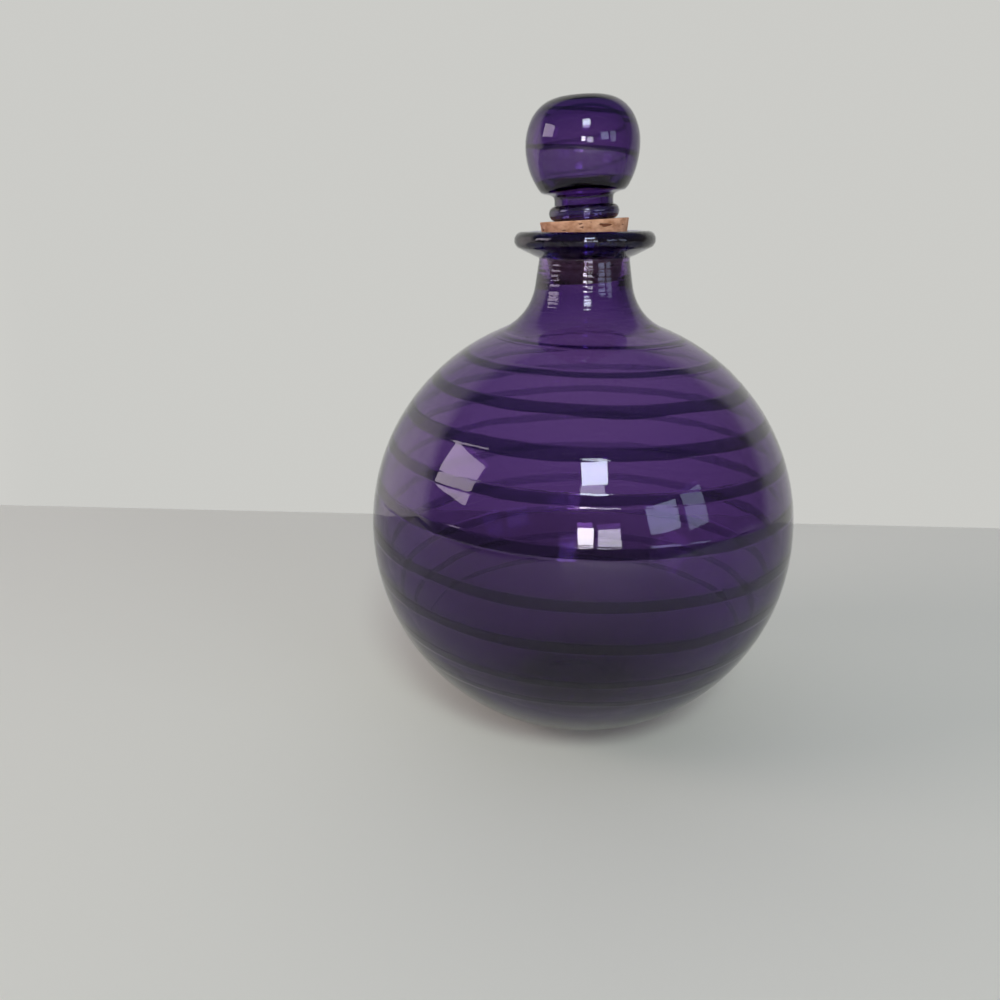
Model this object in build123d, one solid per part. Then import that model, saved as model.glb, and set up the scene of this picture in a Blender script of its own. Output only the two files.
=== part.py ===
"""Round violet art-glass bottle with an applied lip, a glass-topped cork and wound glass trails.

Millimetres, +Z up. The origin is on the resting plane, on the bottle's axis.
The front of the bottle is -Y. The stopper stands slightly askew in the mouth, towards -X.
"""
import os
from math import acos, asin, atan2, cos, degrees, hypot, radians, sin, sqrt, tan

from build123d import *

# ---- Bottle: driving dimensions ----
globe_radius = 100.0            # outside of the blown globe
globe_centre_z = 96.0           # so the sphere is cut flat where it rests
inner_radius = 95.6             # inside of the globe: thin at the shoulder, heavy at the foot
inner_centre_z = 97.6
base_glass = 6.5                # glass under the inside floor
base_edge_radius = 6.0          # outside corner between the foot and the globe
floor_edge_radius = 12.0        # inside corner between the floor and the globe
kick_radius = 20.0              # shallow push-up under the base
kick_height = 2.8
floor_dome_radius = 22.0        # the same push-up seen from inside
floor_dome_height = 2.3

neck_top_z = 219.5              # narrowest point, right under the lip
neck_top_radius = 20.1
neck_flare = radians(8.9)       # the neck widens downwards
shoulder_fillet = 25.0          # concave sweep from neck to globe
bore_radius = 15.6              # the sweep inside springs from here: the neck's wall is the thickest
bore_fillet = 30.0

mouth_rim_z = 231.0
mouth_outer_radius = 22.4       # flared end of the neck inside the lip ring
throat_radius = 17.9
throat_top_z = 222.0
throat_low_z = 212.0            # below this the throat narrows
bore_top_z = 206.0              # where it runs into the sweep
seat_z = 228.0                  # where the cork meets the glass
seat_clearance = 0.25           # the cork leans, so it is nearer than this on one side
mouth_lead = 0.4                # widening from the seat to the rim
rim_round = 1.1

# ---- Applied lip ring ----
lip_roll_radius = 3.8           # half-round outer edge
lip_roll_centre_r = 27.5
lip_roll_centre_z = 227.5

# ---- Cork ----
cork_top_z = 235.9
cork_top_radius = 19.5
cork_taper = radians(8.5)
cork_length = 27.0
cork_edge = 0.7
stub_hole_radius = 9.35
stub_hole_depth = 23.0

# ---- Glass stopper, heights counted from the top of the cork ----
stopper_tilt = 2.7              # degrees, towards -X
bead_height = 6.4
bead_radius = 15.45             # outermost
stem_radius = 12.9
stem_top = 9.8
flare_reach = 2.6               # the stem flares under the bulb, then turns up its side
flare_rise = 0.9
bulb_radius = 24.6
bulb_widest_z = 30.4
bulb_lower_arc = 31.5           # radius of the lower side
bulb_upper_arc = 22.9           # radius of the upper side
bulb_upper_sweep = 28.7         # degrees of the upper side before the corner
bulb_corner_arc = 15.4
bulb_bottom_z = 13.0            # height where the lower side turns under
bulb_wall = 4.6
stem_bore_radius = 7.6
stem_bore_top_z = 11.8
stem_bore_low_z = 1.0
stub_radius = 9.0
stub_length = 21.0
channel_radius = 5.0            # blow hole down the stub
channel_top = -2.0              # it widens from here up to the stem's bore
glue_length = 17.0

# ---- Wound trails ----
# angle down from the top of the globe where each turn crosses the front
turn_angles = [25.0, 35.0, 45.0, 55.5, 66.0, 77.5, 89.5, 100.5, 112.0, 120.0]
trail_width = 5.0
trail_proud = 0.3               # nearly flush: it was marvered into the hot wall
trail_edge = 0.15               # height of its square sides above the wall
trail_embed = 0.6               # depth of its flat inner side
stopper_turn_z = 28.0           # height of the middle turn at the front
stopper_turn_pitch = 14.6
stopper_turns_up = 1.25
stopper_turns_down = 0.75
stopper_trail_width = 2.2
stopper_trail_proud = 0.35


def spin(*edges):
    """Revolve a closed outline, given as radius and height, about the axis."""
    return revolve(Plane.XZ * make_face(Wire(edges)), Axis.Z)


def dome(radius, edge_z, top_z):
    """Arc from (radius, edge_z) to the axis at top_z, level where it meets the axis."""
    rise = top_z - edge_z
    big = (radius * radius + rise * rise) / (2 * rise)
    middle = asin(radius / abs(big)) / 2
    return ThreePointArc(
        (radius, edge_z),
        (abs(big) * sin(middle), top_z - big + big * cos(middle)),
        (0, top_z),
    )


def arc(centre, radius, start, end):
    """Arc about centre between two directions in degrees, counted from outwards to upwards."""
    return CenterArc(centre, radius, start, end - start)


def polar(centre, radius, angle):
    return (centre[0] + radius * cos(radians(angle)), centre[1] + radius * sin(radians(angle)))


def shoulder_centre(radius, centre_z, neck_radius, sweep, flare):
    """Centre of the arc of radius sweep that touches both the neck's side and a globe."""
    slope = tan(flare)
    b = neck_radius + (neck_top_z - centre_z) * slope + sweep / cos(flare)
    root = sqrt((b * slope) ** 2 - (1 + slope**2) * (b * b - (radius + sweep) ** 2))
    up = (b * slope + root) / (1 + slope**2)
    return (b - slope * up, centre_z + up)


def cork_radius_at(z):
    return cork_top_radius - (cork_top_z - z) * tan(cork_taper)


def side_wall(radius, centre_z, neck_radius, sweep, flare, foot_angle, top_z=None):
    """Globe and shoulder of one wall surface, and the point where they end.

    The shoulder ends where it touches the neck's side, or lower down at top_z.
    """
    centre = shoulder_centre(radius, centre_z, neck_radius, sweep, flare)
    contact = degrees(atan2(centre[1] - centre_z, centre[0]))
    end = 180 + degrees(flare)
    if top_z is not None:
        end = 180 + degrees(asin((centre[1] - top_z) / sweep))
    globe = arc((0, centre_z), radius, foot_angle, contact)
    shoulder = arc(centre, sweep, contact + 180, end)
    return globe, shoulder, polar(centre, sweep, end)


def round_foot(radius, centre_z, plane_z, edge):
    """Arc of radius edge between a level plane and a globe: its centre and its end angle on the globe."""
    centre_r = sqrt((radius - edge) ** 2 - (centre_z - plane_z - edge) ** 2)
    centre = (centre_r, plane_z + edge)
    return centre, degrees(atan2(centre[1] - centre_z, centre_r))


def bottle_body():
    """Blown globe and neck in one piece, open from the mouth to the inside floor."""
    foot, foot_angle = round_foot(globe_radius, globe_centre_z, 0, base_edge_radius)
    globe_out, shoulder_out, neck_out = side_wall(
        globe_radius, globe_centre_z, neck_top_radius, shoulder_fillet, neck_flare, foot_angle
    )
    floor, floor_angle = round_foot(inner_radius, inner_centre_z, base_glass, floor_edge_radius)
    globe_in, shoulder_in, throat_end = side_wall(
        inner_radius, inner_centre_z, bore_radius, bore_fillet, 0, floor_angle, bore_top_z
    )
    seat_radius = cork_radius_at(seat_z) + seat_clearance
    round_z = mouth_rim_z - rim_round
    rim_out = mouth_outer_radius - rim_round
    rim_in = seat_radius + mouth_lead + rim_round
    return spin(
        dome(kick_radius, 0, kick_height),
        Line((kick_radius, 0), (foot[0], 0)),
        arc(foot, base_edge_radius, -90, foot_angle),
        globe_out,
        shoulder_out,
        Line(neck_out, (neck_top_radius, neck_top_z)),
        Line((neck_top_radius, neck_top_z), (mouth_outer_radius, round_z)),
        arc((rim_out, round_z), rim_round, 0, 90),
        Line((rim_out, mouth_rim_z), (rim_in, mouth_rim_z)),
        arc((rim_in, round_z), rim_round, 90, 180),
        Line((rim_in - rim_round, round_z), (seat_radius, seat_z)),
        Line((seat_radius, seat_z), (throat_radius, throat_top_z)),
        Line((throat_radius, throat_top_z), (throat_radius, throat_low_z)),
        Line((throat_radius, throat_low_z), throat_end),
        shoulder_in,
        globe_in,
        arc(floor, floor_edge_radius, floor_angle, -90),
        Line((floor[0], base_glass), (floor_dome_radius, base_glass)),
        dome(floor_dome_radius, base_glass, base_glass + floor_dome_height),
        Line((0, base_glass + floor_dome_height), (0, kick_height)),
    )


def lip_ring():
    """Thick gather wound round the flared mouth: half-round edge, sloping underside."""
    roll = (lip_roll_centre_r, lip_roll_centre_z)
    neck = (neck_top_radius, neck_top_z)
    inner_top = (mouth_outer_radius, mouth_rim_z - rim_round)
    to_neck = atan2(neck[1] - roll[1], neck[0] - roll[0])
    reach = hypot(neck[0] - roll[0], neck[1] - roll[1])
    touch_angle = degrees(to_neck + acos(lip_roll_radius / reach))
    return spin(
        Line(neck, polar(roll, lip_roll_radius, touch_angle)),
        arc(roll, lip_roll_radius, touch_angle, 90),
        Line(polar(roll, lip_roll_radius, 90), inner_top),
        Line(inner_top, neck),
    )


def askew(solid):
    """Put a stopper part, drawn from the top of the cork, at its leaning place in the mouth."""
    upright = Pos(0, 0, cork_top_z - seat_z) * solid
    return Pos(0, 0, seat_z) * Rot(0, -stopper_tilt, 0) * upright


def cork():
    """Tapered cork with a blind hole for the glass stub."""
    bottom_radius = cork_top_radius - cork_length * tan(cork_taper)
    body = spin(
        Line((0, 0), (cork_top_radius, 0)),
        Line((cork_top_radius, 0), (bottom_radius, -cork_length)),
        Line((bottom_radius, -cork_length), (0, -cork_length)),
        Line((0, -cork_length), (0, 0)),
    )
    rims = body.edges().filter_by(GeomType.CIRCLE)
    body = fillet(rims, cork_edge)
    return body - cylinder(stub_hole_radius, -stub_hole_depth, 0)


def cylinder(radius, low, high):
    return Pos(0, 0, (low + high) / 2) * Cylinder(radius, high - low)


def bulb_arcs():
    """Centres of the three arcs that draw the bulb's side, and the angles where they meet."""
    lower = (bulb_radius - bulb_lower_arc, bulb_widest_z)
    upper = (bulb_radius - bulb_upper_arc, bulb_widest_z)
    corner = polar(upper, bulb_upper_arc - bulb_corner_arc, bulb_upper_sweep)
    start = degrees(asin((bulb_bottom_z - bulb_widest_z) / bulb_lower_arc))
    return lower, upper, corner, start


def stopper_glass():
    """Blown bulb, stem and stub in one piece, with the blow hole left open at its lower end."""
    lower, upper, corner, start = bulb_arcs()
    heel = polar(lower, bulb_lower_arc, start)
    inner_heel = polar(lower, bulb_lower_arc - bulb_wall, start + 6)
    top_z = corner[1] + bulb_corner_arc
    under = (stem_radius + flare_reach, stem_top + flare_rise)
    return spin(
        Line((channel_radius, -stub_length), (stub_radius, -stub_length)),
        Line((stub_radius, -stub_length), (stub_radius, 0)),
        Line((stub_radius, 0), (stem_radius, 0)),
        Line((stem_radius, 0), (stem_radius, stem_top)),
        ThreePointArc((stem_radius, stem_top), (stem_radius + 0.9, stem_top + 0.7), under),
        ThreePointArc(under, (heel[0] - 0.9, heel[1] - 1.2), heel),
        arc(lower, bulb_lower_arc, start, 0),
        arc(upper, bulb_upper_arc, 0, bulb_upper_sweep),
        arc(corner, bulb_corner_arc, bulb_upper_sweep, 90),
        Line((corner[0], top_z), (0, top_z)),
        Line((0, top_z), (0, top_z - bulb_wall)),
        Line((0, top_z - bulb_wall), (corner[0], top_z - bulb_wall)),
        arc(corner, bulb_corner_arc - bulb_wall, 90, bulb_upper_sweep),
        arc(upper, bulb_upper_arc - bulb_wall, bulb_upper_sweep, 0),
        arc(lower, bulb_lower_arc - bulb_wall, 0, start + 6),
        Line(inner_heel, (stem_bore_radius, stem_bore_top_z)),
        Line((stem_bore_radius, stem_bore_top_z), (stem_bore_radius, stem_bore_low_z)),
        Line((stem_bore_radius, stem_bore_low_z), (channel_radius, channel_top)),
        Line((channel_radius, channel_top), (channel_radius, -stub_length)),
    )


def stopper_bead():
    """Rounded collar of glass wound round the stem, resting on the cork."""
    half = bead_height / 2
    centre = (bead_radius - half, half)
    return spin(
        Line((stem_radius, 0), (stem_radius, bead_height)),
        Line((stem_radius, bead_height), (centre[0], bead_height)),
        arc(centre, half, 90, -90),
        Line((centre[0], 0), (stem_radius, 0)),
    )


def glue_sleeve():
    """Film of adhesive that holds the stub in the cork."""
    return cylinder(stub_hole_radius, -glue_length, 0) - cylinder(stub_radius, -glue_length, 0)


def half_turns(points, section):
    """Solid trail through points on alternate sides: each half turn is revolved about its own axis.

    A point is (radius, height, lean of the surface from level, in degrees). The section is
    drawn with its first direction down the surface and its second outwards.
    """
    pieces = []
    for index in range(len(points) - 1):
        side = -1 if index % 2 == 0 else 1
        here = Vector(side * points[index][0], 0, points[index][1])
        there = Vector(-side * points[index + 1][0], 0, points[index + 1][1])
        middle = (here + there) / 2
        across = (there - here).normalized()
        up = Vector(0, 1, 0).cross(across) * side
        lean = radians(points[index][2])
        outwards = Vector(side * sin(lean), 0, cos(lean))
        down = Vector(side * cos(lean), 0, -sin(lean))
        plane = Plane(origin=here, x_dir=down, z_dir=down.cross(outwards))
        pieces.append(revolve(plane * section, Axis(middle, up), 180))
    joined = pieces[0]
    for piece in pieces[1:]:
        joined = joined + piece
    return joined


def trail_section(width, proud, embed):
    """Low rounded back just above the surface, square sides and a flat inner side below it."""
    half = width / 2
    return make_face(
        Wire(
            [
                ThreePointArc((-half, trail_edge), (0, proud), (half, trail_edge)),
                Line((half, trail_edge), (half, -embed)),
                Line((half, -embed), (-half, -embed)),
                Line((-half, -embed), (-half, trail_edge)),
            ]
        )
    )


def turn_angle(turn):
    """Angle down from the top at a turn count, straight between the listed crossings."""
    index = min(int(turn), len(turn_angles) - 2)
    return turn_angles[index] + (turn - index) * (turn_angles[index + 1] - turn_angles[index])


def globe_trail():
    """Glass thread wound down the globe from the shoulder, a quarter turn before the first crossing."""
    points = []
    for step in range(2 * len(turn_angles) + 1):
        angle = turn_angle(step / 2 - 0.25)
        theta = radians(angle)
        points.append((globe_radius * sin(theta), globe_centre_z + globe_radius * cos(theta), angle))
    return half_turns(points, trail_section(trail_width, trail_proud, trail_embed))


def bulb_surface(z):
    """Bulb outline at a height: its radius, the height and the lean of its surface."""
    lower, upper, corner, _ = bulb_arcs()
    if z < bulb_widest_z:
        centre, radius = lower, bulb_lower_arc
    elif z < polar(upper, bulb_upper_arc, bulb_upper_sweep)[1]:
        centre, radius = upper, bulb_upper_arc
    else:
        centre, radius = corner, bulb_corner_arc
    rise = asin((z - centre[1]) / radius)
    return centre[0] + radius * cos(rise), z, 90 - degrees(rise)


def stopper_trail():
    """Fine glass thread wound down the bulb, left side first."""
    half_turn_count = int(2 * (stopper_turns_up + stopper_turns_down))
    top = stopper_turn_z + stopper_turn_pitch * stopper_turns_up
    points = [bulb_surface(top - stopper_turn_pitch * step / 2) for step in range(half_turn_count + 1)]
    return half_turns(points, trail_section(stopper_trail_width, stopper_trail_proud, trail_embed))


def main():
    os.makedirs("parts", exist_ok=True)
    nodes = {
        "bottle_body": bottle_body(),
        "lip_ring": lip_ring(),
        "globe_trail": globe_trail(),
        "cork": askew(cork()),
        "stopper_glass": askew(stopper_glass()),
        "stopper_bead": askew(stopper_bead()),
        "stopper_trail": askew(stopper_trail()),
        "glue_sleeve": askew(glue_sleeve()),
    }
    for name, solid in nodes.items():
        solid.label = name
        export_step(solid, f"parts/{name}.step")


main()
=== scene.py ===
"""Round violet art-glass bottle: the looks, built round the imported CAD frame.

Metres, +Z up, the front is -Y. Outlines are lists of (radius, height) turned about an axis.
"""
from math import acos, asin, atan2, ceil, cos, degrees, hypot, pi, radians, sin, sqrt, tan

import bmesh
import bpy
from mathutils import Matrix, Vector, noise


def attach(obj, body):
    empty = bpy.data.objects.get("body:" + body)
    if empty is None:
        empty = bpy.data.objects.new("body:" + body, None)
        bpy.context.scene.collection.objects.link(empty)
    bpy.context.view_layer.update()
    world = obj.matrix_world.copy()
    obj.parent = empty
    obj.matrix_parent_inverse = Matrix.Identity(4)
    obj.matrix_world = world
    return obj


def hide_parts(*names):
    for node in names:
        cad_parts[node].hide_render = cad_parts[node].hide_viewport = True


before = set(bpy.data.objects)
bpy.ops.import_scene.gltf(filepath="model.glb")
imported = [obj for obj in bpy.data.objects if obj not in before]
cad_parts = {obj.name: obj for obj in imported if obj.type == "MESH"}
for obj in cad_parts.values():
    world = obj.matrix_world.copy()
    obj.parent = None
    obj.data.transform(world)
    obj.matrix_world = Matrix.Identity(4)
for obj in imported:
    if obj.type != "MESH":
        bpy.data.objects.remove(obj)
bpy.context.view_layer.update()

MM = 0.001

# ---- Bottle, the same driving sizes as the CAD model, in metres ----
GLOBE_R = 0.100
GLOBE_Z = 0.096
INNER_R = 0.0956
INNER_Z = 0.0976
BASE_GLASS = 0.0065
FOOT_EDGE = 0.006
FLOOR_EDGE = 0.012
KICK_R = 0.020                  # shallow push-up under the base
KICK_EDGE_Z = 0.0002
KICK_Z = 0.0028
FLOOR_DOME_R = 0.022            # the same push-up seen from inside
FLOOR_DOME_RISE = 0.0023
NECK_TOP_Z = 0.2195
NECK_TOP_R = 0.0201
NECK_FLARE = radians(8.9)
SHOULDER_SWEEP = 0.025
BORE_R = 0.0156
BORE_SWEEP = 0.030
MOUTH_RIM_Z = 0.231
MOUTH_OUTER_R = 0.0224
MOUTH_LEAD = 0.0004             # the mouth widens by this from the seat to the rim
RIM_ROUND = 0.0011
THROAT_R = 0.0179
THROAT_Z = (0.222, 0.212)
BORE_TOP_Z = 0.206
SEAT_Z = 0.228
SEAT_CLEARANCE = 0.00025
LIP_ROLL_R = 0.0038
LIP_CENTRE = (0.0275, 0.2275)
LIP_CROWN = (0.0245, LIP_CENTRE[1] + 0.0036)
LIP_INNER_TOP = (MOUTH_OUTER_R - 0.0003, 0.2302)

# ---- Stopper, heights counted from the top of the cork ----
CORK_TOP_Z = 0.2359
CORK_R = 0.0195
CORK_TAPER = radians(8.5)
CORK_LENGTH = 0.027
CORK_HOLE_R = 0.00935
CORK_HOLE_DEPTH = 0.023
TILT = radians(2.7)
STEM_R = 0.0129
STEM_TOP = 0.0098
BEAD_R = 0.01545
BEAD_HEIGHT = 0.0064
BULB_R = 0.0246
BULB_WIDEST = 0.0304
BULB_LOWER_ARC = 0.0315
BULB_UPPER_ARC = 0.0229
BULB_UPPER_SWEEP = 28.7
BULB_CORNER_ARC = 0.0154
BULB_BOTTOM = 0.013
BULB_WALL = 0.0046
STEM_BORE_R = 0.0076
STEM_BORE_Z = (0.0118, 0.001)
STUB_R = 0.009
STUB_LENGTH = 0.021
CHANNEL_R = 0.005
CHANNEL_TOP = -0.002
STEM_FLARE = [(0.0141, 0.0107), (0.0182, 0.0116)]  # how the stem widens under the bulb

SEAM = 0.0002                   # pieces keep this far off the edges they share with a neighbour

# ---- Wound trails: turn by turn down the front of the globe ----
TURN_ANGLES = [25.0, 35.0, 45.0, 55.5, 66.0, 77.5, 89.5, 100.5, 112.0, 120.0]
TURN_WIDTHS = [2.0, 3.4, 5.8, 6.2, 4.4, 4.7, 4.9, 5.0, 4.3, 3.4]
BULB_TURN_Z = 0.028             # the middle turn at the front
BULB_TURN_PITCH = 0.0146
TRAIL_TOP = 0.00006             # this far under the wall's skin
TRAIL_DEPTH = 0.0008

# ---- Hand waviness: depth, size of the waves and seed ----
GLOBE_WOBBLE = (0.00022, 0.035, 3.1)
BULB_WOBBLE = (0.0002, 0.015, 5.2)
LIP_WOBBLE = (0.00025, 0.02, 7.7)
BEAD_WOBBLE = (0.00015, 0.01, 2.4)
CORK_WOBBLE = (0.00012, 0.0025, 1.3)

# ---- Glass: how fast it tints light (per metre), what colours pass, and its skin ----
VIOLET = (390.0, (0.345, 0.0725, 0.5675))
HEAVY_VIOLET = (330.0, (0.30, 0.16, 0.66))
TRAIL_TINT = (1900.0, (0.13, 0.08, 0.32))
GLASS_IOR = 1.5
GLASS_GLOSS = 0.38              # a little under 0.5, the plain level
GLOSS_TINT = (0.92, 0.87, 1.0, 1)
HAZE = 0.03                     # roughness where hands have left a film
WAVE_DEPTH = 0.0004
NECK_RIPPLE_DEPTH = 0.00022
TRAIL_RELIEF = 0.00008

# ---- Cork: colours of its grain, its pores and the painted shade inside the mouth ----
GRAIN_DARK = (0.40, 0.165, 0.075, 1)
GRAIN_LIGHT = (0.78, 0.43, 0.265, 1)
PORE = (0.17, 0.05, 0.02, 1)
MOUTH_SHADE = (0.3, 0.34, 0.5, 1)


# ---------------------------------------------------------------- outlines
def polar(centre, radius, angle):
    return centre[0] + radius * cos(radians(angle)), centre[1] + radius * sin(radians(angle))


def arc(centre, radius, start, end):
    """Points about centre between two directions, in degrees from outwards to upwards."""
    count = max(3, ceil(abs(end - start) / 2))
    return [polar(centre, radius, start + (end - start) * i / count) for i in range(count + 1)]


def dome(radius, edge_z, top_z):
    """Shallow arc from (radius, edge_z) to the axis at top_z."""
    rise = top_z - edge_z
    big = (radius * radius + rise * rise) / (2 * rise)
    sweep = degrees(asin(radius / big))
    return arc((0, top_z - big), big, 90 - sweep, 90)


def spaced(points, step):
    """The same line with a point every step or so."""
    out = [points[0]]
    for a, b in zip(points, points[1:]):
        count = max(1, ceil(hypot(b[0] - a[0], b[1] - a[1]) / step))
        for i in range(1, count + 1):
            out.append((a[0] + (b[0] - a[0]) * i / count, a[1] + (b[1] - a[1]) * i / count))
    return out


def fire_polish(points, closed, passes, step=0.0004):
    """Soften every corner of an outline the way glass softens in the flame."""
    line = spaced(points + points[:1] if closed else points, step)
    if closed:
        line = line[:-1]
    for _ in range(passes):
        last = len(line) - 1
        soft = []
        for i, (r, z) in enumerate(line):
            if not closed and i in (0, last):
                soft.append((r, z))
                continue
            a, b = line[i - 1], line[(i + 1) % len(line)]
            soft.append(((a[0] + 2 * r + b[0]) / 4, (a[1] + 2 * z + b[1]) / 4))
        line = soft
    return thinned(line)


def thinned(line, turn=radians(2.2), longest=0.0035):
    """Drop the points that add little: one is kept where the line has turned or run far enough."""
    kept, turned, run = [line[0]], 0.0, 0.0
    for a, b, c in zip(line, line[1:], line[2:]):
        heading = atan2(b[1] - a[1], b[0] - a[0])
        change = atan2(c[1] - b[1], c[0] - b[0]) - heading
        turned += (change + pi) % (2 * pi) - pi
        run += hypot(b[0] - a[0], b[1] - a[1])
        if abs(turned) > turn or run > longest:
            kept.append(b)
            turned, run = 0.0, 0.0
    return kept + [line[-1]]


# ---------------------------------------------------------------- mesh helpers
def mesh_object(name, bm):
    """Smooth-shaded object made from a bmesh, linked into the scene."""
    bmesh.ops.recalc_face_normals(bm, faces=bm.faces)
    for face in bm.faces:
        face.smooth = True
    mesh = bpy.data.meshes.new(name)
    bm.to_mesh(mesh)
    bm.free()
    obj = bpy.data.objects.new(name, mesh)
    bpy.context.scene.collection.objects.link(obj)
    return obj


def ripple(point, depth, scale, seed):
    """Inward shift of a hand-made surface: smooth noise between 0 and depth."""
    value = noise.noise(Vector(point) / scale + Vector((seed, seed * 1.7, -seed)))
    return depth * 0.5 * (1 + max(-1.0, min(1.0, value * 1.4)))


def lathe(name, outline, segments, closed=False, wobble=(0.0, 1.0, 0.0), place=None):
    """Turn an outline about the axis. A point on the axis becomes one pole vertex."""
    bm = bmesh.new()
    rings = []
    for r, z in outline:
        if r < 1e-6:
            rings.append([bm.verts.new((0, 0, z))])
            continue
        ring = []
        for k in range(segments):
            a = 2 * pi * k / segments
            inward = ripple((r * cos(a), r * sin(a), z), *wobble)
            ring.append(bm.verts.new(((r - inward) * cos(a), (r - inward) * sin(a), z)))
        rings.append(ring)
    pairs = list(zip(rings, rings[1:]))
    if closed:
        pairs.append((rings[-1], rings[0]))
    for low, high in pairs:
        for k in range(segments):
            lower = [low[k % len(low)], low[(k + 1) % len(low)]]
            upper = [high[(k + 1) % len(high)], high[k % len(high)]]
            bm.faces.new(dict.fromkeys(lower + upper))
    if place:
        bm.transform(place)
    return mesh_object(name, bm)


def leaning():
    """Where the stopper stands: drawn from the cork's top, it tips towards -X about its seat."""
    up = Matrix.Translation((0, 0, CORK_TOP_Z - SEAT_Z))
    tip = Matrix.Rotation(-TILT, 4, "Y")
    return Matrix.Translation((0, 0, SEAT_Z)) @ tip @ up


# ---------------------------------------------------------------- pieces
def shoulder_centre(radius, centre_z, neck_r, sweep, flare):
    """Centre of the concave arc that touches both the neck's side and a globe."""
    slope = tan(flare)
    b = neck_r + (NECK_TOP_Z - centre_z) * slope + sweep / cos(flare)
    root = sqrt((b * slope) ** 2 - (1 + slope**2) * (b * b - (radius + sweep) ** 2))
    up = (b * slope + root) / (1 + slope**2)
    return b - slope * up, centre_z + up


def side_wall(radius, centre_z, neck_r, sweep, flare, foot_angle, top_z=None):
    """One surface of the bottle from its foot to the neck's side, or to top_z below it."""
    centre = shoulder_centre(radius, centre_z, neck_r, sweep, flare)
    contact = degrees(atan2(centre[1] - centre_z, centre[0]))
    end = 180 + degrees(flare)
    if top_z is not None:
        end = 180 + degrees(asin((centre[1] - top_z) / sweep))
    globe = arc((0, centre_z), radius, foot_angle, contact)
    return globe + arc(centre, sweep, contact + 180, end)


def round_foot(radius, centre_z, plane_z, edge):
    """Arc of radius edge between a level plane and a globe: its centre and its angle on the globe."""
    centre_r = sqrt((radius - edge) ** 2 - (centre_z - plane_z - edge) ** 2)
    return (centre_r, plane_z + edge), degrees(atan2(plane_z + edge - centre_z, centre_r))


def bottle_body():
    """Blown globe and neck, open at the mouth: the outside from the foot up, then the inside down."""
    foot, foot_angle = round_foot(GLOBE_R, GLOBE_Z, 0, FOOT_EDGE)
    hollow, hollow_angle = round_foot(INNER_R, INNER_Z, BASE_GLASS, FLOOR_EDGE)
    seat_r = CORK_R - (CORK_TOP_Z - SEAT_Z) * tan(CORK_TAPER) + SEAT_CLEARANCE
    rim_z = MOUTH_RIM_Z - RIM_ROUND
    rim_in = seat_r + MOUTH_LEAD + RIM_ROUND
    outside = (
        list(reversed(dome(KICK_R, KICK_EDGE_Z, KICK_Z)))
        + arc(foot, FOOT_EDGE, -90, foot_angle)
        + side_wall(GLOBE_R, GLOBE_Z, NECK_TOP_R, SHOULDER_SWEEP, NECK_FLARE, foot_angle)
        + [(NECK_TOP_R, NECK_TOP_Z), (MOUTH_OUTER_R, rim_z)]
        + arc((MOUTH_OUTER_R - RIM_ROUND, rim_z), RIM_ROUND, 0, 90)
    )
    inside = (
        arc((rim_in, rim_z), RIM_ROUND, 90, 180)
        + [(seat_r, SEAT_Z), (THROAT_R, THROAT_Z[0]), (THROAT_R, THROAT_Z[1])]
        + list(reversed(side_wall(INNER_R, INNER_Z, BORE_R, BORE_SWEEP, 0, hollow_angle, BORE_TOP_Z)))
        + arc(hollow, FLOOR_EDGE, hollow_angle, -90)
        + dome(FLOOR_DOME_R, BASE_GLASS, BASE_GLASS + FLOOR_DOME_RISE)
    )
    outline = fire_polish(outside + inside, closed=False, passes=10)
    return lathe("bottle_globe", outline, 256, wobble=GLOBE_WOBBLE)


def lip_ring():
    """Half-round ring that runs down to the neck and, with a slight crown, in to the mouth."""
    neck = (NECK_TOP_R - SEAM, NECK_TOP_Z + SEAM)
    to_neck = degrees(atan2(neck[1] - LIP_CENTRE[1], neck[0] - LIP_CENTRE[0]))
    reach = hypot(neck[0] - LIP_CENTRE[0], neck[1] - LIP_CENTRE[1])
    touch = to_neck + degrees(acos(LIP_ROLL_R / reach))
    outline = [neck] + arc(LIP_CENTRE, LIP_ROLL_R, touch, 90) + [LIP_CROWN, LIP_INNER_TOP]
    outline = fire_polish(outline, closed=True, passes=8)
    return lathe("lip_roll", outline, 192, closed=True, wobble=LIP_WOBBLE)


def cork():
    """Tapered cork with a blind hole for the stub."""
    bottom_r = CORK_R - CORK_LENGTH * tan(CORK_TAPER)
    outline = [
        (0, -CORK_HOLE_DEPTH), (CORK_HOLE_R, -CORK_HOLE_DEPTH), (CORK_HOLE_R, 0), (CORK_R, 0),
        (bottom_r, -CORK_LENGTH), (0, -CORK_LENGTH),
    ]
    outline = spaced(fire_polish(outline, closed=False, passes=2, step=0.0003), 0.0005)
    return lathe("cork_body", outline, 300, wobble=CORK_WOBBLE, place=leaning())


def bulb_arcs():
    """Centres of the three arcs of the bulb's side, and the angle where the lower one starts."""
    lower = (BULB_R - BULB_LOWER_ARC, BULB_WIDEST)
    upper = (BULB_R - BULB_UPPER_ARC, BULB_WIDEST)
    corner = polar(upper, BULB_UPPER_ARC - BULB_CORNER_ARC, BULB_UPPER_SWEEP)
    start = degrees(asin((BULB_BOTTOM - BULB_WIDEST) / BULB_LOWER_ARC))
    return lower, upper, corner, start


def bulb_skin(inset, start):
    """Side of the bulb from its heel to the level top, inset from the outside by a wall."""
    lower, upper, corner, _ = bulb_arcs()
    return (
        arc(lower, BULB_LOWER_ARC - inset, start, 0)
        + arc(upper, BULB_UPPER_ARC - inset, 0, BULB_UPPER_SWEEP)
        + arc(corner, BULB_CORNER_ARC - inset, BULB_UPPER_SWEEP, 90)
    )


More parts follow.
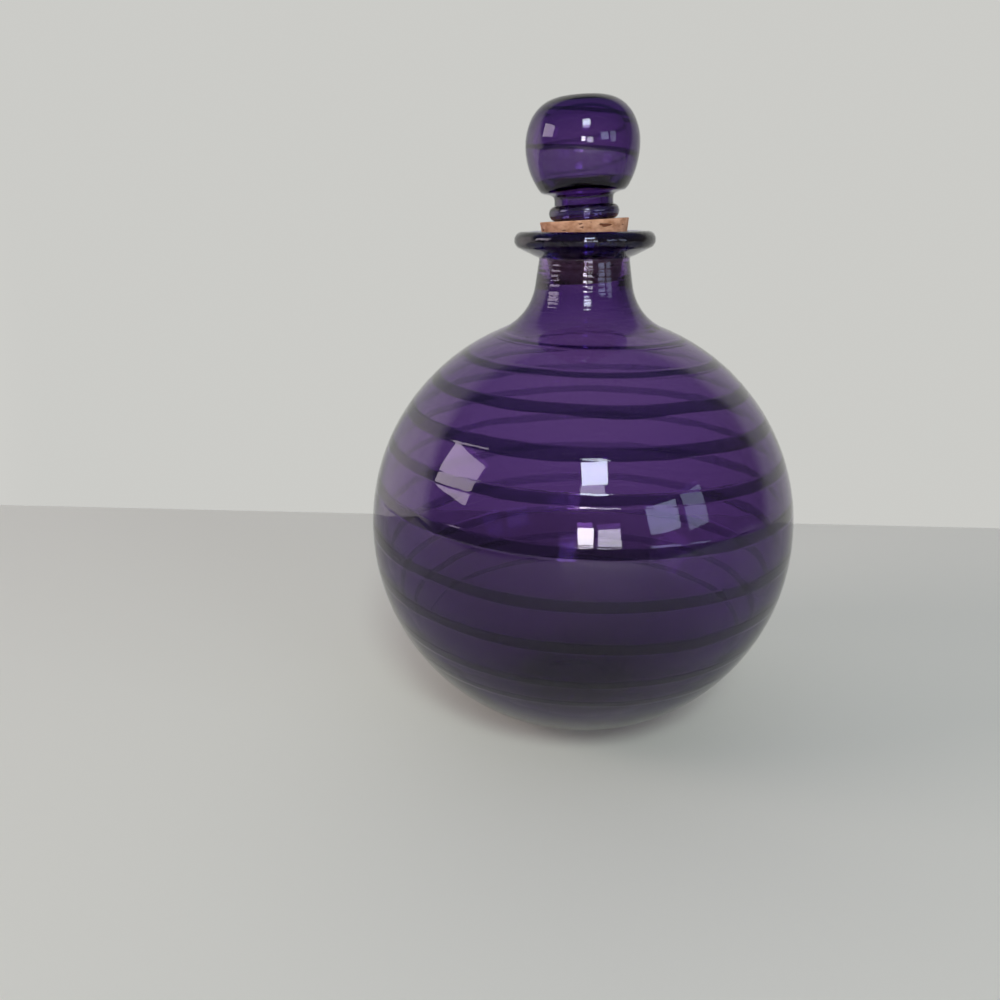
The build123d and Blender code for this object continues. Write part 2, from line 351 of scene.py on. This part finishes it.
def stopper_glass():
    """Bulb, stem and stub: the hollow from the top down, then the outside from the stub up."""
    _, _, corner, start = bulb_arcs()
    top = corner[1] + BULB_CORNER_ARC
    outline = (
        [(0, top - BULB_WALL)]
        + list(reversed(bulb_skin(BULB_WALL, start + 6)))
        + [(STEM_BORE_R, STEM_BORE_Z[0]), (STEM_BORE_R, STEM_BORE_Z[1]), (CHANNEL_R, CHANNEL_TOP)]
        + [(CHANNEL_R, -STUB_LENGTH), (STUB_R, -STUB_LENGTH), (STUB_R, 0)]
        + [(STEM_R, 0), (STEM_R, STEM_TOP)]
        + STEM_FLARE
        + bulb_skin(0, start)
        + [(0, top)]
    )
    outline = fire_polish(outline, closed=False, passes=8)
    return lathe("stopper_bulb", outline, 160, wobble=BULB_WOBBLE, place=leaning())


def stopper_bead():
    """Rounded collar round the stem, resting on the cork."""
    half = BEAD_HEIGHT / 2
    inner = STEM_R - SEAM
    back = arc((BEAD_R - half, half), half - SEAM / 10, 90, -90)
    outline = [(inner, BEAD_HEIGHT - 2 * SEAM)] + back + [(inner, SEAM)]
    outline = fire_polish(outline, closed=True, passes=4, step=0.0003)
    return lathe("stopper_collar", outline, 128, closed=True, wobble=BEAD_WOBBLE, place=leaning())


def between(values, turn):
    """A listed value at a turn count, straight between its neighbours and beyond the ends."""
    index = min(max(int(turn), 0), len(values) - 2)
    return values[index] + (turn - index) * (values[index + 1] - values[index])


# The thread's section, as shares of its width (downwards) and of its depth into the wall.
TRAIL_SECTION = [
    (-0.5, 0.5), (-0.44, 0.1), (-0.25, 0), (0, 0), (0.25, 0),
    (0.47, 0), (0.5, 0.3), (0.47, 1), (0.1, 0.95), (-0.38, 0.85),
]


def wind(name, surface, first, last, width, wobble, steps_per_turn, seed, place=None):
    """Flat glass thread wound into a wall: surface(turn) gives radius, height and lean.

    It lies just under the wall's skin and follows the same wobble, with soft upper and crisp
    lower edges, where the hot thread sagged before it set.
    """
    bm = bmesh.new()
    rings = []
    count = int((last - first) * steps_per_turn)
    for i in range(count + 1):
        turn = first + (last - first) * i / count
        angle = 1.5 * pi + 2 * pi * turn
        r, z, lean = surface(turn)
        radial = Vector((cos(angle), sin(angle), 0))
        out = radial * sin(lean) + Vector((0, 0, 1)) * cos(lean)
        down = radial * cos(lean) - Vector((0, 0, 1)) * sin(lean)
        wander = noise.noise(Vector((radial.x * 2.2, radial.y * 2.2, turn * 1.5 + seed)))
        chatter = noise.noise(Vector((radial.x * 17, radial.y * 17, turn * 9 - seed)))
        end = min(1.0, min(turn - first, last - turn) * 8 + 0.1)
        thick = TRAIL_DEPTH * end * (0.68 - 0.32 * radial.y)
        w = width(turn) * (1 + 0.22 * wander + 0.07 * chatter) * end
        middle = radial * r + Vector((0, 0, z)) + down * (0.18 * width(turn) * wander)
        sag = w * w / (2 * r)
        ring = []
        for across, depth in TRAIL_SECTION:
            bend = sag * across * across
            p = middle + down * (w * across) - out * (TRAIL_TOP + thick * depth + bend)
            ring.append(bm.verts.new(p - radial * ripple(p, *wobble)))
        rings.append(ring)
    for a, b in zip(rings, rings[1:]):
        for k in range(len(a)):
            j = (k + 1) % len(a)
            bm.faces.new((a[k], a[j], b[j], b[k]))
    for ring in (rings[0], rings[-1]):
        bm.faces.new(ring)
    if place:
        bm.transform(place)
    return mesh_object(name, bm)


def globe_surface(turn):
    lean = radians(between(TURN_ANGLES, turn))
    return GLOBE_R * sin(lean), GLOBE_Z + GLOBE_R * cos(lean), lean


def bulb_surface(turn):
    """Outside of the bulb where the stopper's thread passes."""
    z = BULB_TURN_Z - BULB_TURN_PITCH * turn
    lower, upper, corner, _ = bulb_arcs()
    centre, radius = (lower, BULB_LOWER_ARC) if z < BULB_WIDEST else (upper, BULB_UPPER_ARC)
    if z > polar(upper, BULB_UPPER_ARC, BULB_UPPER_SWEEP)[1]:
        centre, radius = corner, BULB_CORNER_ARC
    rise = asin((z - centre[1]) / radius)
    return centre[0] + radius * cos(rise), z, pi / 2 - rise


# ---------------------------------------------------------------- materials
def tint(material, colour):
    """Tint of the glass: plain absorption inside, density times (1 - passes) per metre."""
    density, passes = colour
    nodes, links = material.node_tree.nodes, material.node_tree.links
    inside = nodes.new("ShaderNodeVolumeAbsorption")
    inside.inputs["Color"].default_value = (*passes, 1)
    inside.inputs["Density"].default_value = density
    links.new(inside.outputs["Volume"], nodes["Material Output"].inputs["Volume"])


def maths(tree, operation, *values):
    """One maths node; each value is a number or another node's output."""
    node = tree.nodes.new("ShaderNodeMath")
    node.operation = operation
    for socket, value in zip(node.inputs, values):
        if isinstance(value, (int, float)):
            socket.default_value = value
        else:
            tree.links.new(value, socket)
    return node.outputs[0]


def eased(tree, value, low, high):
    """Smooth step from 0 at low to 1 at high."""
    node = tree.nodes.new("ShaderNodeMapRange")
    node.interpolation_type = "SMOOTHSTEP"
    node.inputs["From Min"].default_value = low
    node.inputs["From Max"].default_value = high
    tree.links.new(value, node.inputs["Value"])
    return node.outputs["Result"]


def noise_of(tree, vector, scale, detail, stretch=(1, 1, 1)):
    """Smooth noise around 0.5; a stretch above 1 makes it finer along that axis."""
    place = tree.nodes.new("ShaderNodeMapping")
    place.inputs["Scale"].default_value = stretch
    cloud = tree.nodes.new("ShaderNodeTexNoise")
    cloud.inputs["Scale"].default_value = scale
    cloud.inputs["Detail"].default_value = detail
    tree.links.new(vector, place.inputs["Vector"])
    tree.links.new(place.outputs["Vector"], cloud.inputs["Vector"])
    return cloud.outputs["Fac"]


def bumped(tree, height, distance, under=None):
    """Fine relief in a surface, on top of the relief that is already there."""
    node = tree.nodes.new("ShaderNodeBump")
    node.inputs["Strength"].default_value = 1.0
    node.inputs["Distance"].default_value = distance
    tree.links.new(height, node.inputs["Height"])
    if under is not None:
        tree.links.new(under, node.inputs["Normal"])
    return node.outputs["Normal"]


def hypotenuse(tree, a, b):
    """Length of the vector (a, b)."""
    squares = maths(tree, "ADD", maths(tree, "MULTIPLY", a, a), maths(tree, "MULTIPLY", b, b))
    return maths(tree, "SQRT", squares)


def thread_relief(tree, where):
    """1 over the wound thread and 0 beside it: the wall stands a little proud along the thread."""
    parts = tree.nodes.new("ShaderNodeSeparateXYZ")
    tree.links.new(where, parts.inputs[0])
    x, y, z = parts.outputs
    front = maths(tree, "DIVIDE", maths(tree, "ARCTAN2", x, maths(tree, "MULTIPLY", y, -1.0)), 2 * pi)
    flat = hypotenuse(tree, x, y)
    up = maths(tree, "SUBTRACT", z, GLOBE_Z)
    lean = maths(tree, "DIVIDE", maths(tree, "ARCTAN2", flat, up), pi)
    last = len(TURN_ANGLES)
    stops = [(between(TURN_ANGLES, turn) / 180, (turn + 1) / (last + 1)) for turn in range(-1, last + 1)]
    curve = tree.nodes.new("ShaderNodeFloatCurve")
    line = curve.mapping.curves[0]
    line.points[0].location = stops[0]
    line.points[1].location = stops[-1]
    for stop in stops[1:-1]:
        line.points.new(*stop)
    for point in line.points:
        point.handle_type = "VECTOR"
    curve.mapping.update()
    tree.links.new(lean, curve.inputs["Value"])
    count = maths(tree, "SUBTRACT", maths(tree, "MULTIPLY", curve.outputs[0], last + 1.0), 1.0)
    off = maths(tree, "SUBTRACT", count, front)
    nearest = maths(tree, "ROUND", off)
    beside = maths(tree, "MULTIPLY", maths(tree, "SUBTRACT", off, nearest), radians(10.5) * GLOBE_R)
    grain = maths(tree, "SUBTRACT", noise_of(tree, where, 260.0, 2.0), 0.5)
    rough = maths(tree, "MULTIPLY", grain, 0.0009)
    edge = maths(tree, "ADD", maths(tree, "ABSOLUTE", beside), rough)
    turn = maths(tree, "ADD", nearest, front)
    wound = maths(tree, "MULTIPLY", eased(tree, turn, -0.27, -0.2), eased(tree, turn, 9.75, 9.68))
    outside = eased(tree, hypotenuse(tree, flat, up), 0.0982, 0.0986)
    on = maths(tree, "MULTIPLY", eased(tree, edge, 0.0029, 0.0020), wound)
    return maths(tree, "MULTIPLY", on, outside)


def glass(name, colour, threaded=False):
    """Blown glass: clear and tinted, with a faint film of handling marks and a wavy skin."""
    material = bpy.data.materials.new(name)
    material.use_nodes = True
    tree = material.node_tree
    shader = tree.nodes["Principled BSDF"]
    shader.inputs["Base Color"].default_value = (1, 1, 1, 1)
    shader.inputs["Transmission Weight"].default_value = 1.0
    shader.inputs["IOR"].default_value = GLASS_IOR
    shader.inputs["Specular IOR Level"].default_value = GLASS_GLOSS
    shader.inputs["Specular Tint"].default_value = GLOSS_TINT
    tint(material, colour)
    where = tree.nodes.new("ShaderNodeTexCoord").outputs["Object"]
    smear = maths(tree, "MULTIPLY", eased(tree, noise_of(tree, where, 40.0, 6.0), 0.45, 0.8), HAZE)
    tree.links.new(smear, shader.inputs["Roughness"])
    normal = bumped(tree, noise_of(tree, where, 24.0, 2.0), WAVE_DEPTH)
    if threaded:
        height = tree.nodes.new("ShaderNodeSeparateXYZ")
        tree.links.new(where, height.inputs[0])
        up = height.outputs[2]
        neck = maths(tree, "MULTIPLY", eased(tree, up, 0.186, 0.2), eased(tree, up, 0.2205, 0.217))
        lines = maths(tree, "MULTIPLY", noise_of(tree, where, 60.0, 1.0, (1, 1, 14)), neck)
        normal = bumped(tree, lines, NECK_RIPPLE_DEPTH, under=normal)
        normal = bumped(tree, thread_relief(tree, where), TRAIL_RELIEF, under=normal)
    tree.links.new(normal, shader.inputs["Normal"])
    return material


def fused_glass(name, colour):
    """Thread melted into the wall: the same glass with more tint, so it bends no light of its own."""
    material = bpy.data.materials.new(name)
    material.use_nodes = True
    shader = material.node_tree.nodes["Principled BSDF"]
    shader.inputs["Base Color"].default_value = (1, 1, 1, 1)
    shader.inputs["Transmission Weight"].default_value = 1.0
    shader.inputs["Roughness"].default_value = 0.0
    shader.inputs["IOR"].default_value = 1.0
    tint(material, colour)
    return material


def cork_material():
    """Natural cork: tan grain and short dark pores, with painted shade where it sits in the mouth."""
    material = bpy.data.materials.new("cork_grain")
    material.use_nodes = True
    tree = material.node_tree
    shader = tree.nodes["Principled BSDF"]
    shader.inputs["Roughness"].default_value = 0.85
    where = tree.nodes.new("ShaderNodeTexCoord").outputs["Object"]
    grain = noise_of(tree, where, 260.0, 5.0, (1, 1, 1.6))
    tone = tree.nodes.new("ShaderNodeValToRGB")
    tone.color_ramp.elements[0].position = 0.28
    tone.color_ramp.elements[0].color = GRAIN_DARK
    tone.color_ramp.elements[1].position = 0.68
    tone.color_ramp.elements[1].color = GRAIN_LIGHT
    tree.links.new(grain, tone.inputs["Fac"])
    pores = eased(tree, noise_of(tree, where, 150.0, 2.0, (1, 1, 2.6)), 0.62, 0.68)
    specks = eased(tree, noise_of(tree, where, 620.0, 1.0), 0.69, 0.76)
    marks = maths(tree, "MAXIMUM", pores, maths(tree, "MULTIPLY", specks, 0.5))
    colour = tree.nodes.new("ShaderNodeMix")
    colour.data_type = "RGBA"
    tree.links.new(marks, colour.inputs[0])
    tree.links.new(tone.outputs["Color"], colour.inputs[6])
    colour.inputs[7].default_value = PORE
    # painted shade: the cork turns darker and bluish towards the part that sits inside the mouth
    up = tree.nodes.new("ShaderNodeSeparateXYZ")
    tree.links.new(where, up.inputs[0])
    mouth_shade = tree.nodes.new("ShaderNodeMix")
    mouth_shade.data_type = "RGBA"
    mouth_shade.blend_type = "MULTIPLY"
    tree.links.new(eased(tree, up.outputs[2], SEAT_Z, THROAT_Z[0]), mouth_shade.inputs[0])
    tree.links.new(colour.outputs[2], mouth_shade.inputs[6])
    mouth_shade.inputs[7].default_value = MOUTH_SHADE
    tree.links.new(mouth_shade.outputs[2], shader.inputs["Base Color"])
    height = maths(tree, "SUBTRACT", maths(tree, "MULTIPLY", grain, 0.4), marks)
    tree.links.new(bumped(tree, height, 0.0005), shader.inputs["Normal"])
    return material


def glue_material():
    """Yellowed adhesive, hidden between stub and cork."""
    material = bpy.data.materials.new("glue_film")
    material.use_nodes = True
    shader = material.node_tree.nodes["Principled BSDF"]
    shader.inputs["Base Color"].default_value = (0.6, 0.52, 0.35, 1)
    shader.inputs["Roughness"].default_value = 0.25
    return material


def floor_material():
    """Plain warm-white table top."""
    material = bpy.data.materials.new("pale_floor")
    material.use_nodes = True
    shader = material.node_tree.nodes["Principled BSDF"]
    shader.inputs["Base Color"].default_value = (0.87, 0.845, 0.74, 1)
    shader.inputs["Roughness"].default_value = 0.7
    return material


# ---------------------------------------------------------------- studio
FLOOR_BACK = 0.27
WALL_COLOUR = (0.60, 0.60, 0.575)
LEFT_COLOUR = (1.4, 1.3, 1.26)
FRONT_COLOUR = (0.195, 0.175, 0.18)
CEILING_COLOUR = (0.15, 0.155, 0.24)


def floor():
    """Wide pale table top that ends a hand's breadth behind the bottle."""
    bm = bmesh.new()
    corners = [(-6, -6), (6, -6), (6, FLOOR_BACK), (-6, FLOOR_BACK)]
    top = [bm.verts.new((x, y, 0)) for x, y in corners]
    low = [bm.verts.new((x, y, -0.03)) for x, y in corners]
    bm.faces.new(top)
    bm.faces.new(low)
    for k in range(4):
        bm.faces.new((top[k], top[k - 1], low[k - 1], low[k]))
    obj = mesh_object("studio_floor", bm)
    for face in obj.data.polygons:
        face.use_smooth = False
    obj.data.materials.append(floor_material())


def camera():
    """At the height of the cork's top, near the bottle, looking a little down and to its left."""
    data = bpy.data.cameras.new("camera")
    data.sensor_width = 36.0
    data.lens = 30.6
    data.clip_start = 0.01
    pitch, yaw, roll = radians(18.5), radians(5.6), radians(-0.55)
    ahead = Vector((-sin(yaw) * cos(pitch), cos(yaw) * cos(pitch), -sin(pitch)))
    right = Vector((cos(yaw), sin(yaw), 0))
    up = right.cross(ahead)
    right, up = right * cos(roll) + up * sin(roll), up * cos(roll) - right * sin(roll)
    obj = bpy.data.objects.new("camera", data)
    turn = Matrix((right, up, -ahead)).transposed().to_4x4()
    obj.matrix_world = Matrix.Translation((0, -0.3943, GLOBE_Z + 0.142)) @ turn
    bpy.context.scene.collection.objects.link(obj)
    bpy.context.scene.camera = obj


def softbox(name, azimuth, elevation, distance, width, height, radiance, colour):
    """Rectangular soft light facing the globe. Azimuth 0 is the front, 90 the +X side."""
    data = bpy.data.lights.new(name, "AREA")
    data.shape = "RECTANGLE"
    data.size, data.size_y = width, height
    data.energy = radiance * width * height * pi
    data.color = colour
    a, e = radians(azimuth), radians(elevation)
    towards = Vector((sin(a) * cos(e), -cos(a) * cos(e), sin(e)))
    obj = bpy.data.objects.new(name, data)
    obj.location = Vector((0, 0, GLOBE_Z)) + towards * distance
    obj.rotation_euler = towards.to_track_quat("Z", "Y").to_euler()
    obj.visible_camera = False
    bpy.context.scene.collection.objects.link(obj)


def room():
    """Even pale surroundings that darken smoothly towards the viewer's side and lighten to the left."""
    world = bpy.data.worlds.new("room")
    bpy.context.scene.world = world
    world.use_nodes = True
    nodes, links = world.node_tree.nodes, world.node_tree.links
    where = nodes.new("ShaderNodeTexCoord")

    def facing(direction, low, high):
        dot = nodes.new("ShaderNodeVectorMath")
        dot.operation = "DOT_PRODUCT"
        dot.inputs[1].default_value = direction
        links.new(where.outputs["Generated"], dot.inputs[0])
        ease = nodes.new("ShaderNodeMapRange")
        ease.interpolation_type = "SMOOTHSTEP"
        ease.inputs["From Min"].default_value = low
        ease.inputs["From Max"].default_value = high
        links.new(dot.outputs["Value"], ease.inputs["Value"])
        return ease.outputs["Result"]

    def blend(factor, start, end):
        mix = nodes.new("ShaderNodeMix")
        mix.data_type = "RGBA"
        links.new(factor, mix.inputs[0])
        if isinstance(start, tuple):
            mix.inputs[6].default_value = (*start, 1)
        else:
            links.new(start, mix.inputs[6])
        if isinstance(end, tuple):
            mix.inputs[7].default_value = (*end, 1)
        else:
            links.new(end, mix.inputs[7])
        return mix.outputs[2]

    left = blend(facing((-1, 0, 0), 0.55, 1.0), WALL_COLOUR, LEFT_COLOUR)
    front = blend(facing((0, 0, 1), 0.25, 0.8), FRONT_COLOUR, CEILING_COLOUR)
    dark = blend(facing((0.2, -0.86, 0.45), -0.24, -0.04), left, front)
    links.new(dark, nodes["Background"].inputs["Color"])
    nodes["Background"].inputs["Strength"].default_value = 1.0


def studio():
    room()
    softbox("window_left", -75, 25, 2.6, 1.15, 0.9, 4.8, (1.0, 0.9, 0.92))
    softbox("skylight", 10, 43, 2.6, 0.6, 0.55, 18.0, (0.84, 0.98, 0.98))
    softbox("skylight_sill", 8, 34.5, 2.6, 0.55, 0.22, 6.0, (0.9, 0.92, 1.0))
    softbox("front_pane", 3.5, 11.5, 2.6, 0.34, 0.4, 24.0, (1.0, 1.0, 0.94))
    softbox("front_blind", 15.5, 10, 2.6, 0.52, 0.42, 9.5, (0.96, 1.0, 0.94))
    softbox("window_right", 44, 17, 2.6, 0.7, 0.6, 4.0, (0.68, 0.8, 1.0))
    softbox("window_far_right", 63, 16, 2.6, 0.55, 0.75, 2.6, (0.68, 0.8, 1.0))
    floor()


def dress(piece, body, slot, material, *nodes):
    """Give a piece its body and its material, and hide the CAD nodes it stands for; the slot is not
    used.
    """
    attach(piece, body)
    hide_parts(*nodes)
    piece.data.materials.append(material)


def main():
    bpy.context.scene.view_settings.view_transform = "Standard"
    bpy.context.scene.cycles.max_bounces = 32
    bpy.context.scene.cycles.transmission_bounces = 32
    bpy.context.scene.cycles.glossy_bounces = 12
    camera()
    studio()
    violet = glass("violet_glass", VIOLET, threaded=True)
    clear = glass("stopper_violet_glass", VIOLET)
    heavy = glass("heavy_violet_glass", HEAVY_VIOLET)
    dark = fused_glass("trail_glass", TRAIL_TINT)
    dress(bottle_body(), "bottle", "bottle_glass", violet, "bottle_body")
    dress(lip_ring(), "bottle", "lip_glass", heavy, "lip_ring")
    thread = wind(
        "globe_thread", globe_surface, -0.25, 9.75,
        lambda turn: between(TURN_WIDTHS, turn) * MM, GLOBE_WOBBLE, 256, 4.0,
    )
    dress(thread, "bottle", "trail_glass", dark, "globe_trail")
    dress(cork(), "stopper", "cork", cork_material(), "cork")
    dress(stopper_glass(), "stopper", "stopper_glass", clear, "stopper_glass")
    dress(stopper_bead(), "stopper", "lip_glass", heavy, "stopper_bead")
    fine = wind(
        "bulb_thread", bulb_surface, -1.25, 0.75,
        lambda turn: 2.0 * MM, BULB_WOBBLE, 160, 9.0, leaning(),
    )
    dress(fine, "stopper", "trail_glass", dark, "stopper_trail")
    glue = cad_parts["glue_sleeve"]
    glue.data.materials.clear()
    glue.data.materials.append(glue_material())


main()
